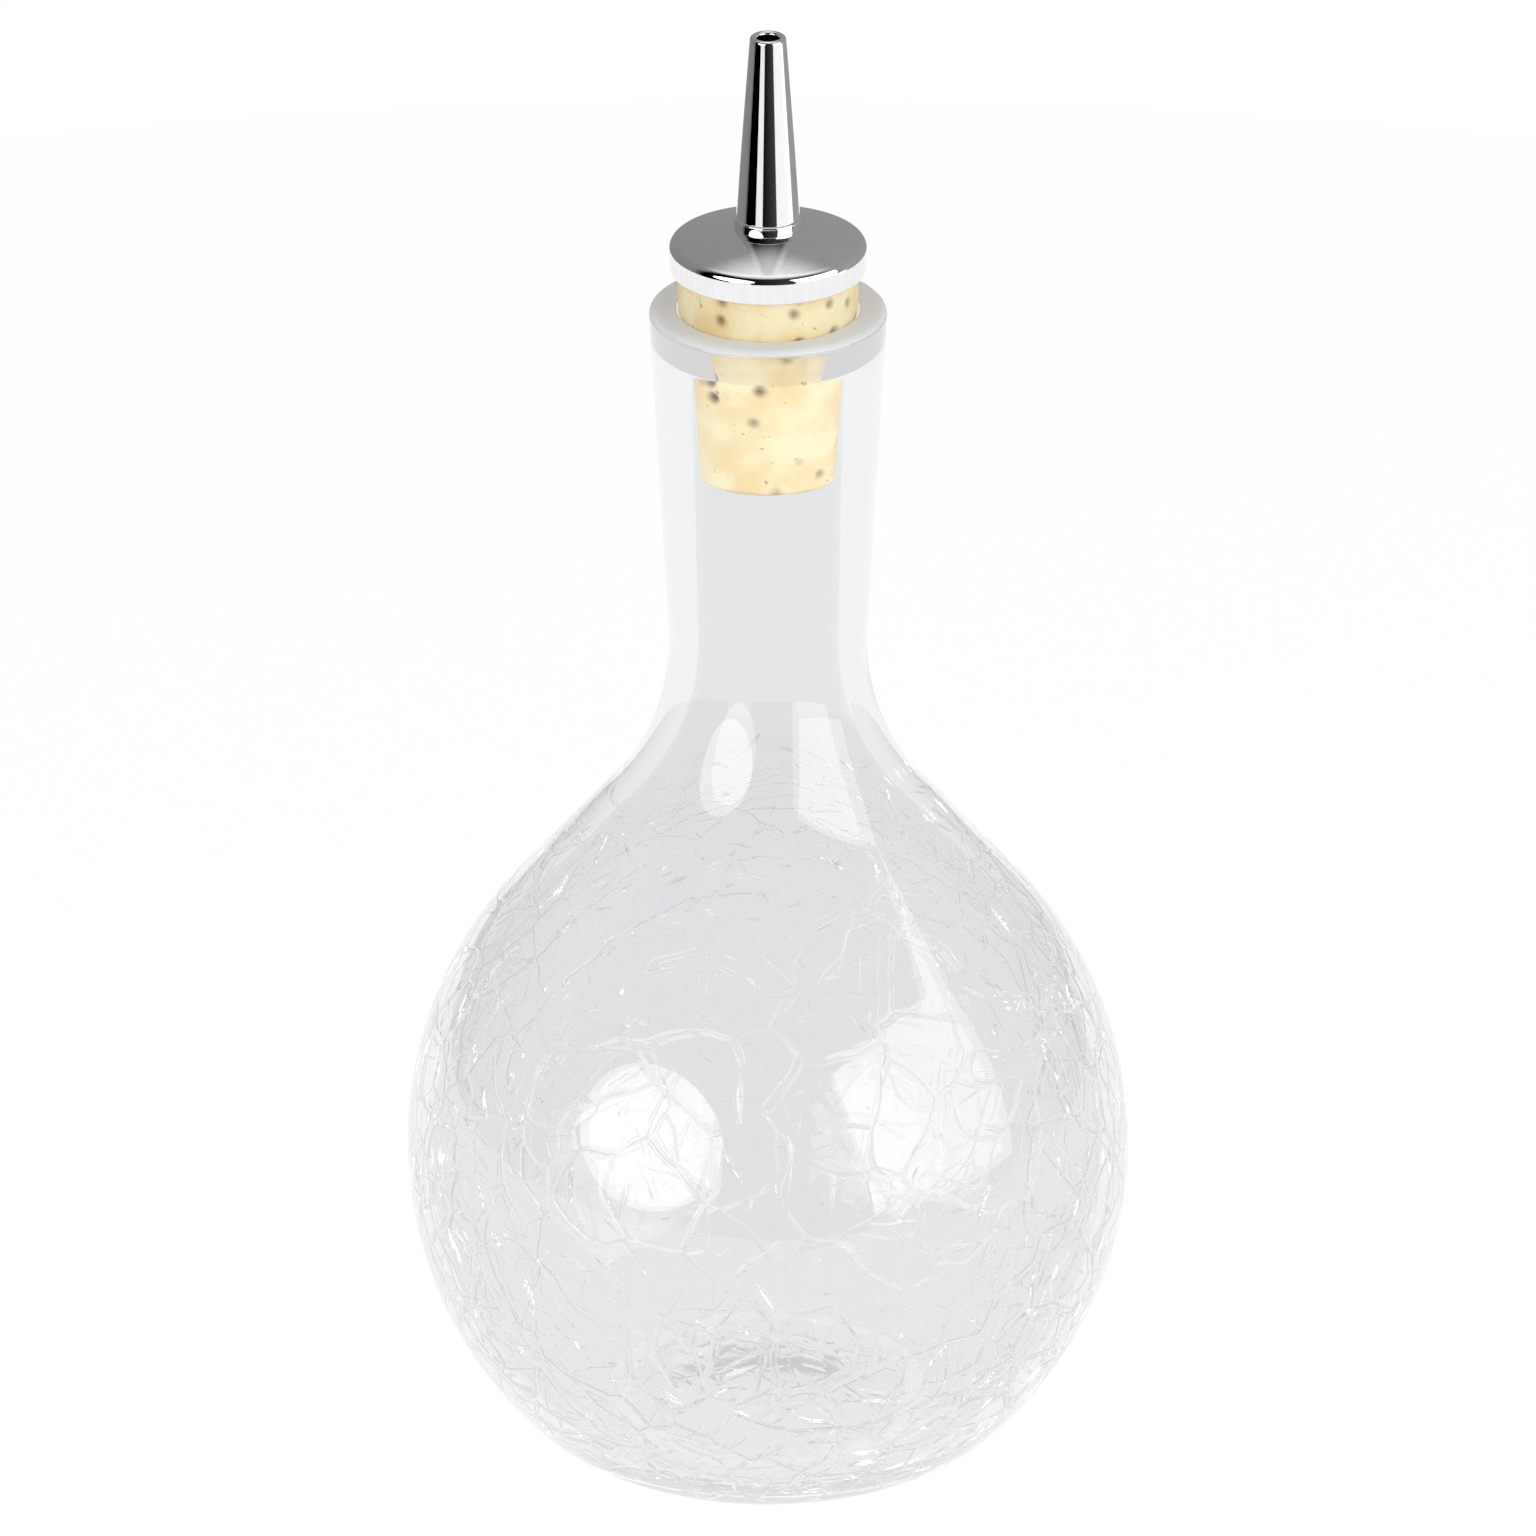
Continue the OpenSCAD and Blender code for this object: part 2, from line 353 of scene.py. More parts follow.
def crack_tree():
    """Sets thin air-filled cracks on edge in a wall, over the surface that it is given"""
    tree, start, end = new_group(
        "Cracks",
        "GeometryNodeTree",
        (
            ("Surface", "NodeSocketGeometry", None),
            ("Spacing", "NodeSocketFloat", 5 * MM),
            ("Shortest", "NodeSocketVector", (1 * MM, 0.03 * MM, 0.5 * MM)),
            ("Longest", "NodeSocketVector", (8 * MM, 0.08 * MM, 2 * MM)),
            ("Wave", "NodeSocketFloat", 0.8 * MM),
            ("Wave Scale", "NodeSocketFloat", 350.0),
            ("Seed", "NodeSocketInt", 1),
            ("Material", "NodeSocketMaterial", None),
        ),
        (("Geometry", "NodeSocketGeometry"),),
    )
    tree.is_modifier = True
    seed = start.outputs["Seed"]
    # More points a square metre than the spacing can hold, so the spacing decides
    crowd = 200000.0
    spread = put(
        tree,
        "GeometryNodeDistributePointsOnFaces",
        {
            "Mesh": start.outputs["Surface"],
            "Distance Min": start.outputs["Spacing"],
            "Density Max": crowd,
            "Seed": seed,
        },
        distribute_method="POISSON",
    )
    lean = random_vector(tree, (0.0, -CRACK_LEAN, 0.0), (0.0, CRACK_LEAN, math.pi), seed)
    spin = put(
        tree,
        "FunctionNodeRotateRotation",
        {
            0: spread.outputs["Rotation"],
            1: put(tree, "FunctionNodeEulerToRotation", {0: lean}).outputs[0],
        },
        rotation_space="LOCAL",
    )
    size = random_vector(
        tree, start.outputs["Shortest"], start.outputs["Longest"], whole(tree, "ADD", seed, 1)
    )
    # A crack starts as a ball that is 1 across, so that its scale is its size
    sliver = put(tree, "GeometryNodeMeshIcoSphere", {"Radius": 0.5, "Subdivisions": 2})
    cracks = put(
        tree,
        "GeometryNodeInstanceOnPoints",
        {
            "Points": spread.outputs["Points"],
            "Instance": sliver.outputs["Mesh"],
            "Rotation": spin.outputs[0],
            "Scale": size,
        },
    )
    real = put(tree, "GeometryNodeRealizeInstances", {"Geometry": cracks.outputs[0]})
    wave = put(tree, "ShaderNodeTexNoise", {"Scale": start.outputs["Wave Scale"], "Detail": 1.0})
    # The noise runs from 0 to 1, and a wave goes as far one way as the other
    centred = put(
        tree,
        "ShaderNodeVectorMath",
        {0: wave.outputs["Color"], 1: (0.5, 0.5, 0.5)},
        operation="SUBTRACT",
    )
    shift = put(
        tree,
        "ShaderNodeVectorMath",
        {0: centred.outputs[0], "Scale": start.outputs["Wave"]},
        operation="SCALE",
    )
    bent = put(
        tree,
        "GeometryNodeSetPosition",
        {"Geometry": real.outputs[0], "Offset": shift.outputs[0]},
    )
    # A crack is air in the glass, so its faces look into it
    inward = put(tree, "GeometryNodeFlipFaces", {"Mesh": bent.outputs[0]})
    finished = put(
        tree,
        "GeometryNodeSetMaterial",
        {"Geometry": inward.outputs[0], "Material": start.outputs["Material"]},
    )
    tree.links.new(finished.outputs[0], end.inputs[0])
    return tree


def run_tree(piece, tree, material, values):
    """Runs a tree on a piece, with its inputs set by identifier, and keeps the plain mesh"""
    modifier = piece.modifiers.new(tree.name, "NODES")
    modifier.node_group = tree
    inputs = {**values, "Material": material}
    for item in tree.interface.items_tree:
        if item.in_out == "INPUT" and item.name in inputs:
            modifier[item.identifier] = inputs[item.name]
    bpy.context.view_layer.update()
    shaped = piece.evaluated_get(bpy.context.evaluated_depsgraph_get())
    mesh = bpy.data.meshes.new_from_object(shaped)
    piece.modifiers.remove(modifier)
    piece.data = mesh
    mesh.name = piece.name
    # The tree leaves an empty slot before its material
    mesh.materials.clear()
    mesh.materials.append(material)
    mesh.polygons.foreach_set("material_index", [0] * len(mesh.polygons))
    return piece


# Meshes

def new_piece(name, mesh):
    """An object at the origin"""
    piece = bpy.data.objects.new(name, mesh)
    bpy.context.collection.objects.link(piece)
    return piece


def outward(mesh):
    """Turns every face of a closed mesh outwards"""
    shell = bmesh.new()
    shell.from_mesh(mesh)
    bmesh.ops.recalc_face_normals(shell, faces=shell.faces)
    if shell.calc_volume(signed=True) < 0:
        bmesh.ops.reverse_faces(shell, faces=shell.faces)
    shell.to_mesh(mesh)
    shell.free()


def lathe(name, profile, material, segments):
    """A closed turned piece from its profile, a list of (radius, height)"""
    line = bpy.data.meshes.new(name + "_line")
    steps = [(step, step + 1) for step in range(len(profile) - 1)]
    line.from_pydata([(r, 0.0, z) for r, z in profile], steps, [])
    tree = bpy.data.node_groups.get("Lathe") or lathe_tree()
    piece = run_tree(new_piece(name, line), tree, material, {"Segments": segments})
    outward(piece.data)
    return piece


def close_stretches(profile, longest, near):
    """Adds points on long straight stretches, the first and last close to their ends"""
    filled = [profile[0]]
    for (r0, z0), (r1, z1) in zip(profile, profile[1:]):
        span = math.hypot(r1 - r0, z1 - z0)
        if span > longest:
            steps = math.ceil(span / longest)
            shares = [near / span]
            shares += [step / steps for step in range(1, steps)]
            shares.append(1 - near / span)
            filled += [(r0 + (r1 - r0) * share, z0 + (z1 - z0) * share) for share in shares]
        filled.append((r1, z1))
    return filled


# Profiles

def aim(angle):
    """Direction in the profile plane"""
    return Vector((math.cos(angle), math.sin(angle)))


def leg(hypotenuse, side):
    """Second leg of a right triangle"""
    return math.sqrt(hypotenuse * hypotenuse - side * side)


def arc(centre, radius, start, end, step=math.radians(2.5)):
    """Points of an arc from one angle to another, both ends included"""
    steps = max(1, math.ceil(abs(end - start) / step))
    return [
        tuple(Vector(centre) + radius * aim(start + (end - start) * turn / steps))
        for turn in range(steps + 1)
    ]


def crossing(place, along, other, other_along):
    """Where two lines meet"""
    gap = other - place
    share = (gap.x * other_along.y - gap.y * other_along.x) / (
        along.x * other_along.y - along.y * other_along.x
    )
    return place + along * share


def punt(glass, radius, floor_z):
    """Bell curve of the pushed-up base"""
    steps = 24
    return [
        (radius * step / steps, floor_z + glass.punt * (1 + math.cos(math.pi * step / steps)) / 2)
        for step in range(steps + 1)
    ]


def skin(glass, inset, floor_z, neck_at, lean):
    """One skin of the glass, from the middle of the base up to the neck"""
    crown = Vector((glass.body_r - glass.crown_r, glass.belly_z))
    skirt = Vector((glass.body_r - glass.skirt_r, glass.belly_z))
    crown_r = glass.crown_r - inset
    skirt_r = glass.skirt_r - inset
    turn_r = glass.heel_r - inset
    turn_z = floor_z + turn_r
    turn = Vector((skirt.x + leg(skirt_r - turn_r, glass.belly_z - turn_z), turn_z))
    turn_end = math.atan2(turn_z - glass.belly_z, turn.x - skirt.x)
    up_shoulder = aim(glass.shoulder + math.pi / 2)
    down_neck = aim(-math.pi / 2 - lean)
    shoulder_at = crown + crown_r * aim(glass.shoulder)
    corner = crossing(shoulder_at, up_shoulder, Vector(neck_at), down_neck)
    blend_r = glass.sweep_r + inset
    setback = blend_r * math.tan((glass.shoulder + lean) / 2)
    blend = corner - up_shoulder * setback + blend_r * aim(glass.shoulder)
    return (
        punt(glass, turn.x - glass.ring, floor_z)
        + arc(turn, turn_r, -math.pi / 2, turn_end)
        + arc(skirt, skirt_r, turn_end, 0)
        + arc(crown, crown_r, 0, glass.shoulder)
        + arc(blend, blend_r, math.pi + glass.shoulder, math.pi - lean)
    )


def bottle_profile(glass):
    """Outer skin, rim, ground mouth and inner skin"""
    rim_centre = (glass.rim_r - glass.rim_round, glass.rim_z - glass.rim_round)
    neck_top = (glass.rim_r, rim_centre[1])
    seat = (glass.bore_r, glass.rim_z - glass.mouth_depth)
    edge_centre = (glass.mouth_r + glass.edge, glass.rim_z - glass.edge)
    fine = math.radians(15)
    line = (
        skin(glass, 0, 0, neck_top, glass.neck_lean)
        + arc(rim_centre, glass.rim_round, -glass.neck_lean, math.pi / 2, fine)
        + arc(edge_centre, glass.edge, math.pi / 2, math.pi, fine)
        + [seat]
        + skin(glass, glass.wall, glass.floor, seat, glass.bore_lean)[::-1]
    )
    return close_stretches(line, longest=2.5 * MM, near=0.2 * MM)


def cork_profile(sizes, glass):
    """Cork with its bore: head above the rim, ground cone, taper and rounded foot"""
    head_r = glass.mouth_r - sizes.cork_gap
    hole_r = sizes.socket_r
    foot = (sizes.cork_foot_r - sizes.cork_round, CORK_LOW.z + sizes.cork_round)
    line = [
        (hole_r, CORK_HIGH.z),
        (head_r - sizes.cork_gap, CORK_HIGH.z),
        (head_r, CORK_HIGH.z - sizes.cork_gap),
        (head_r, glass.rim_z - glass.edge),
        (glass.bore_r - sizes.cork_gap, glass.rim_z - glass.mouth_depth),
        *arc(foot, sizes.cork_round, 0, -math.pi / 2, math.radians(15)),
        (hole_r, CORK_LOW.z),
        (hole_r, CORK_HIGH.z),
    ]
    return close_stretches(line, longest=0.35 * MM, near=0.05 * MM)


def cap_profile(sizes, spout_z):
    """Cap with its spigot hole: rounded lip, side, rounded corner and dome"""
    fine = math.radians(6)
    hole_r = sizes.spigot_r + sizes.seat_gap
    lip = (sizes.cap_r - sizes.cap_lip, CAP_LOW.z + sizes.cap_lip)
    corner = (sizes.cap_r - sizes.cap_round, CAP_LOW.z + sizes.cap_side)
    inner_r = sizes.dome_r - sizes.cap_round
    dome = (0.0, corner[1] - leg(inner_r, corner[0]))
    corner_end = math.acos(corner[0] / inner_r)
    land_r = sizes.foot_r + sizes.land
    dome_end = math.acos(land_r / sizes.dome_r)
    dome_step = math.radians(0.5)
    line = [
        (hole_r, CAP_LOW.z),
        *arc(lip, sizes.cap_lip, -math.pi / 2, 0, fine),
        *arc(corner, sizes.cap_round, 0, corner_end, fine),
        *arc(dome, sizes.dome_r, corner_end, dome_end, dome_step),
        (hole_r, spout_z),
        (hole_r, CAP_LOW.z),
    ]
    return close_stretches(line, longest=0.5 * MM, near=0.05 * MM)


def spout_profile(sizes, spout_z):
    """Spout with its bore: spigot, foot ring, long cone and rounded tip"""
    fine = math.radians(12)
    tip_round = (sizes.tip_r - sizes.flow_r) / 2
    tip = (sizes.tip_r - tip_round, SPOUT_HIGH.z - tip_round)
    foot = (sizes.foot_r - sizes.foot_round, spout_z + sizes.foot_h - sizes.foot_round)
    line = [
        (sizes.socket_r, SPOUT_LOW.z),
        (sizes.spigot_r, SPOUT_LOW.z),
        (sizes.spigot_r, spout_z),
        (sizes.foot_r, spout_z),
        *arc(foot, sizes.foot_round, 0, math.pi / 2, fine),
        (sizes.base_r - sizes.foot_round / 2, spout_z + sizes.foot_h),
        *arc(tip, tip_round, 0, math.pi, fine),
        (sizes.flow_r, TUBE_HIGH.z),
        (sizes.socket_r, TUBE_HIGH.z),
        (sizes.socket_r, SPOUT_LOW.z),
    ]
    return close_stretches(line, longest=0.6 * MM, near=0.05 * MM)


def land_height(sizes):
    """Height of the flat in the cap's dome that the spout stands on"""
    corner = (sizes.cap_r - sizes.cap_round, CAP_LOW.z + sizes.cap_side)
    dome_z = corner[1] - leg(sizes.dome_r - sizes.cap_round, corner[0])
    return dome_z + leg(sizes.dome_r, sizes.foot_r + sizes.land)


# Materials

def new_material(name):
    """A material with its tree, Principled shader, output and object coordinates"""
    material = bpy.data.materials.new(name)
    material.use_nodes = True
    tree = material.node_tree
    tree.nodes.clear()
    shader = put(tree, "ShaderNodeBsdfPrincipled")
    end = put(tree, "ShaderNodeOutputMaterial")
    tree.links.new(shader.outputs[0], end.inputs["Surface"])
    place = put(tree, "ShaderNodeTexCoord").outputs["Object"]
    return material, tree, shader, end, place


def emboss(tree, shader, height, strength, depth):
    """Gives a shader the relief of a height"""
    feeds = {"Height": height, "Strength": strength, "Distance": depth}
    bump = put(tree, "ShaderNodeBump", feeds)
    tree.links.new(bump.outputs[0], shader.inputs["Normal"])


def wear_group():
    """Roughness and height of a handled surface: soft smears and fine scratches"""
    tree, start, end = new_group(
        "Handled Surface",
        "ShaderNodeTree",
        (
            ("Vector", "NodeSocketVector", None),
            ("Smear Scale", "NodeSocketFloat", 60.0),
            ("Scratch Scale", "NodeSocketFloat", 900.0),
            ("Smoothest", "NodeSocketFloat", 0.03),
            ("Roughest", "NodeSocketFloat", 0.1),
        ),
        (("Roughness", "NodeSocketFloat"), ("Height", "NodeSocketFloat")),
    )
    vector = start.outputs["Vector"]
    smear = cloud(tree, vector, start.outputs["Smear Scale"], detail=4.0)
    # Scratches run up and down, so their pattern is stretched along Z
    stretched = put(tree, "ShaderNodeMapping", {"Vector": vector, "Scale": (1.0, 1.0, 0.12)})
    scratch = cloud(tree, stretched.outputs[0], start.outputs["Scratch Scale"])
    scratch_share = 0.4
    both = calculate(tree, "MULTIPLY_ADD", scratch.outputs[0], scratch_share, smear.outputs[0])
    share = ramp(tree, both, 0.45, 1.0)
    span = calculate(tree, "SUBTRACT", start.outputs["Roughest"], start.outputs["Smoothest"])
    rough = calculate(tree, "MULTIPLY_ADD", share, span, start.outputs["Smoothest"])
    tree.links.new(rough, end.inputs["Roughness"])
    tree.links.new(scratch.outputs[0], end.inputs["Height"])
    return tree


def handled(tree, place, smear, scratch, smoothest, roughest):
    """The handled-surface group in a material"""
    group = bpy.data.node_groups.get("Handled Surface") or wear_group()
    feeds = {
        "Vector": place,
        "Smear Scale": smear,
        "Scratch Scale": scratch,
        "Smoothest": smoothest,
        "Roughest": roughest,
    }
    made = put(tree, "ShaderNodeGroup", feeds, node_tree=group)
    return made.outputs["Roughness"], made.outputs["Height"]


def glass_relief(tree, place, glass):
    """Relief of the glass: slow waves, and a web of grooves that fades out towards the neck"""
    warp = cloud(tree, place, scale=55.0)
    # How far the warp bends the lines of the web
    reach = 12 * MM
    bent = put(
        tree,
        "ShaderNodeVectorMath",
        {0: warp.outputs["Color"], 1: (reach, reach, reach), 2: place},
        operation="MULTIPLY_ADD",
    )
    web = put(
        tree,
        "ShaderNodeTexVoronoi",
        {"Vector": bent.outputs[0], "Scale": 120.0},
        feature="DISTANCE_TO_EDGE",
    )
    # Half the width of a groove as a share of a cell, its depth as a share of the waves' height,
    # and the height over which the web fades out
    groove_half = 0.05
    groove_depth = 0.3
    fade = 25 * MM
    groove = ramp(tree, web.outputs["Distance"], 0.0, groove_half)
    height = put(tree, "ShaderNodeSeparateXYZ", {0: place}).outputs[2]
    above = ramp(tree, height, glass.crackle_top, glass.crackle_top - fade, 1.0, 0.0)
    groove = calculate(tree, "MAXIMUM", groove, above)
    waves = cloud(tree, place, scale=38.0, detail=1.0)
    return calculate(tree, "MULTIPLY_ADD", groove, groove_depth, waves.outputs[0])


def glass_material(glass, finish):
    """Clear glass: slow waves, and a web of fine lines over the cracks in the globe"""
    material, tree, shader, end, place = new_material("bottle_glass")
    rough, smear = handled(tree, place, smear=45.0, scratch=700.0, smoothest=0.0, roughest=0.02)
    emboss(tree, shader, glass_relief(tree, place, glass), strength=0.5, depth=0.5 * MM)
    clear = blend_colour(tree, smear, finish.glass, darker(finish.glass, 0.99))
    tree.links.new(clear, shader.inputs["Base Color"])
    tree.links.new(rough, shader.inputs["Roughness"])
    shader.inputs["Transmission Weight"].default_value = 1.0
    shader.inputs["IOR"].default_value = GLASS_IOR
    path = put(tree, "ShaderNodeLightPath")
    # Past that many bounces the glass shows a painted glow at a light grey level instead of
    # black, standing in for light that would run round in the wall and come out
    late = calculate(tree, "GREATER_THAN", path.outputs["Ray Depth"], LONGEST_PATH)
    painted_glow = put(tree, "ShaderNodeEmission", {"Strength": PAINTED_GLOW_LEVEL})
    glass_then_painted_glow = mix_shaders(tree, late, shader.outputs[0], painted_glow.outputs[0])
    # Light from the lamps goes straight through, so the shadow on the table is a faint one
    through = put(tree, "ShaderNodeBsdfTransparent", {"Color": (0.97, 0.97, 0.97, 1.0)})
    mixed = mix_shaders(tree, path.outputs["Is Shadow Ray"], glass_then_painted_glow, through.outputs[0])
    tree.links.new(mixed, end.inputs["Surface"])
    return material


def ground_material(finish):
    """Ground glass: white, matt and only half clear, with a fine grit"""
    material, tree, shader, _, place = new_material("ground_glass")
    grit = cloud(tree, place, scale=2500.0, detail=3.0)
    patch = cloud(tree, place, scale=140.0)
    tone = ramp(tree, patch.outputs[0], 0.35, 0.65)
    colour = blend_colour(tree, tone, finish.ground, darker(finish.ground, 0.95))
    rough = ramp(tree, grit.outputs[0], 0.3, 0.7, 0.4, 0.6)
    emboss(tree, shader, grit.outputs[0], strength=0.4, depth=0.02 * MM)
    tree.links.new(colour, shader.inputs["Base Color"])
    tree.links.new(rough, shader.inputs["Roughness"])
    shader.inputs["Transmission Weight"].default_value = 0.35
    shader.inputs["IOR"].default_value = GLASS_IOR
    return material


def cork_material(finish):
    """Natural cork: soft patches, fine grain, flecks, and dark pits from the mesh"""
    material, tree, shader, _, place = new_material("natural_cork")
    patch = cloud(tree, place, scale=170.0, detail=5.0)
    grain = put(tree, "ShaderNodeTexVoronoi", {"Vector": place, "Scale": 1500.0})
    fleck = cloud(tree, place, scale=900.0, detail=3.0)
    tone = ramp(tree, patch.outputs[0], 0.36, 0.66)
    colour = blend_colour(tree, tone, finish.cork_pale, finish.cork_gold)
    speck = ramp(tree, fleck.outputs[0], 0.66, 0.76, 0.0, 0.6)
    colour = blend_colour(tree, speck, colour, finish.cork_dark)
    pit = put(tree, "ShaderNodeAttribute", attribute_name="pit").outputs["Fac"]
    colour = blend_colour(tree, pit, colour, finish.cork_dark)
    grain_depth = 0.5
    relief = calculate(
        tree, "MULTIPLY_ADD", grain.outputs["Distance"], grain_depth, fleck.outputs[0]
    )
    emboss(tree, shader, relief, strength=0.6, depth=0.15 * MM)
    rough, _ = handled(tree, place, smear=150.0, scratch=1200.0, smoothest=0.7, roughest=0.9)
    tree.links.new(colour, shader.inputs["Base Color"])
    tree.links.new(rough, shader.inputs["Roughness"])
    return material


def metal_material(name, colour, smoothest, roughest, depth):
    """Bare metal with smears and fine scratches"""
    material, tree, shader, _, place = new_material(name)
    smear_scale = 130.0
    scratch_scale = 1600.0
    rough, scratches = handled(tree, place, smear_scale, scratch_scale, smoothest, roughest)
    tone = ramp(tree, scratches, 0.2, 0.8)
    tint = blend_colour(tree, tone, colour, darker(colour, 0.93))
    emboss(tree, shader, scratches, strength=0.3, depth=depth)
    tree.links.new(tint, shader.inputs["Base Color"])
    tree.links.new(rough, shader.inputs["Roughness"])
    shader.inputs["Metallic"].default_value = 1.0
    return material


def seen_directly(tree):
    """1 for camera, glossy and transmission rays, and 0 for the rest"""
    path = put(tree, "ShaderNodeLightPath")
    seen = calculate(
        tree, "MAXIMUM", path.outputs["Is Camera Ray"], path.outputs["Is Glossy Ray"]
    )
    return calculate(tree, "MAXIMUM", seen, path.outputs["Is Transmission Ray"])


def table_material():
    """White table that shows as white, and keeps a soft shadow"""
    material, tree, shader, end, place = new_material("white_table")
    tree.nodes.remove(shader)
    paper = cloud(tree, place, scale=30.0)
    tone = blend_colour(tree, paper.outputs[0], (0.90, 0.90, 0.90), (0.92, 0.92, 0.92))
    matt = put(tree, "ShaderNodeBsdfDiffuse", {"Color": tone})
    # The glow and the light that the paper sends back come to 1 together
    white = put(tree, "ShaderNodeEmission", {"Strength": GLOW_LEVEL})
    share = calculate(tree, "MULTIPLY", seen_directly(tree), TABLE_GLOW)
    mixed = mix_shaders(tree, share, matt.outputs[0], white.outputs[0])
    tree.links.new(mixed, end.inputs["Surface"])
    return material


def shell_material():
    """Studio walls for the metal to show: dark in front, grey behind, bright overhead"""
    # Levels of the walls in front, behind and overhead
    front = 0.02
    back = 0.3
    top = 0.8
    # How much the level rises from the middle to the right side
    tilt = 0.06
    material, tree, shader, end, place = new_material("studio_walls")
    tree.nodes.remove(shader)
    way = put(tree, "ShaderNodeVectorMath", {0: place}, operation="NORMALIZE")
    x, y, z = put(tree, "ShaderNodeSeparateXYZ", {0: way.outputs[0]}).outputs
    behind = ramp(tree, y, -0.25, 0.1, front, back)
    side = calculate(tree, "MULTIPLY_ADD", x, tilt, behind)
    above = ramp(tree, z, 0.8, 1.0, 0.0, top)
    level = calculate(tree, "ADD", side, above)
    # The cards stand below the table's height, at their azimuths from the camera's side
    low = ramp(tree, z, -0.1, 0.0, 1.0, 0.0)
    around = calculate(tree, "ARCTAN2", x, calculate(tree, "MULTIPLY", y, -1.0))
    fade = math.radians(CARD_FADE)
    for first, last in WHITE_CARDS:
        left = math.radians(first)
        right = math.radians(last)
        opened = ramp(tree, around, left, left + fade)
        closed = ramp(tree, around, right - fade, right, 1.0, 0.0)
        card = calculate(tree, "MULTIPLY", calculate(tree, "MULTIPLY", opened, closed), low)
        level = calculate(tree, "ADD", level, card)
    glow = put(tree, "ShaderNodeEmission", {"Strength": level})
    tree.links.new(glow.outputs[0], end.inputs["Surface"])
    return material


# Pieces

def add_cracks(piece, glass, material):
    """Joins the cracks inside the wall to the bottle's mesh"""
    middle = glass.wall / 2
    neck_at = (glass.bore_r + middle, glass.rim_z - glass.mouth_depth)
    line = skin(glass, middle, glass.floor / 2, neck_at, glass.neck_lean)
    line = [place for place in line if place[1] <= glass.crackle_top]
    surface = lathe("crack_surface", line, material, segments=96)
    longest = (glass.crack_long, glass.crack_wide, glass.crack_deep)
    # The shortest crack is this many times smaller, along each of its sides
    smaller = (8, 3, 3)
    values = {
        "Spacing": glass.crack_gap,
        "Shortest": tuple(size / times for size, times in zip(longest, smaller)),
        "Longest": longest,
        "Seed": glass.crack_seed,
    }
    cracks = run_tree(surface, crack_tree(), material, values)
    joined = bmesh.new()
    joined.from_mesh(piece.data)
    joined.from_mesh(cracks.data)
    joined.to_mesh(piece.data)
    joined.free()
    bpy.data.objects.remove(cracks)


def grind_rim(piece, glass, material):
    """Gives the flat face of the rim its own material"""
    piece.data.materials.append(material)
    ground = len(piece.data.materials) - 1
    low = glass.rim_z - glass.rim_round
    # Upward part of the normal of a face that is ground
    facing_up = 0.5
    for face in piece.data.polygons:
        if face.center.z > low and face.normal.z > facing_up:
            face.material_index = ground


def sink_pits(piece, depth, hole_r):
    """Sinks pits into the cork's outside, and marks them for the material"""
    # Pits and patches with pits in a metre
    pit_scale = 330.0
    patch_scale = 120.0
    # Radius of a pit as a share of its cell, and how sharply a patch with pits begins
    pit_reach = 0.34
    patch_edge = 4.0
    # Share of the depth that the soft unevenness has, and how dark a pit is for its depth
    uneven_share = 0.0625
    darkness = 1.6
    # The bore's own wall stays smooth
    smooth_r = hole_r * 1.5
    mesh = piece.data
    marks = mesh.attributes.new("pit", "FLOAT", "POINT")
    for vertex in mesh.vertices:
        place = vertex.co
        reach = math.hypot(place.x, place.y)
        if reach < smooth_r:
            continue
        near = noise.voronoi(place * pit_scale)[0][0]
        patch = noise.noise(place * patch_scale)
        pit = max(0.0, 1.0 - near / pit_reach) * min(1.0, max(0.0, patch * patch_edge))
        uneven = uneven_share * (1.0 + noise.noise(place * pit_scale))
        drop = depth * (pit + uneven)
        vertex.co.x -= place.x / reach * drop
        vertex.co.y -= place.y / reach * drop
        marks.data[vertex.index].value = min(1.0, pit * darkness)
    mesh.update()


class MakeBottle(bpy.types.Operator):
    """Blow the crackle-glass bottle"""

    bl_idname = "bottle.make_bottle"
    bl_label = "Bottle"

    def execute(self, context):
        glass = context.scene.bottle_glass
        material = glass_material(glass, context.scene.bottle_finishes)
        piece = lathe("bottle_glass", bottle_profile(glass), material, glass.segments)
        grind_rim(piece, glass, ground_material(context.scene.bottle_finishes))
        add_cracks(piece, glass, material)
        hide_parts("bottle")
        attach(piece, "glass_body")
        return {"FINISHED"}


class MakeCork(bpy.types.Operator):
    """Turn the cork and sink its pits"""

    bl_idname = "bottle.make_cork"
    bl_label = "Cork"

    def execute(self, context):
        sizes = context.scene.bottle_stopper
        profile = cork_profile(sizes, context.scene.bottle_glass)
        material = cork_material(context.scene.bottle_finishes)
        piece = lathe("stopper_cork", profile, material, sizes.segments)
        sink_pits(piece, sizes.cork_pit, sizes.socket_r)
        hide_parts("cork")
        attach(piece, "stopper")
        return {"FINISHED"}


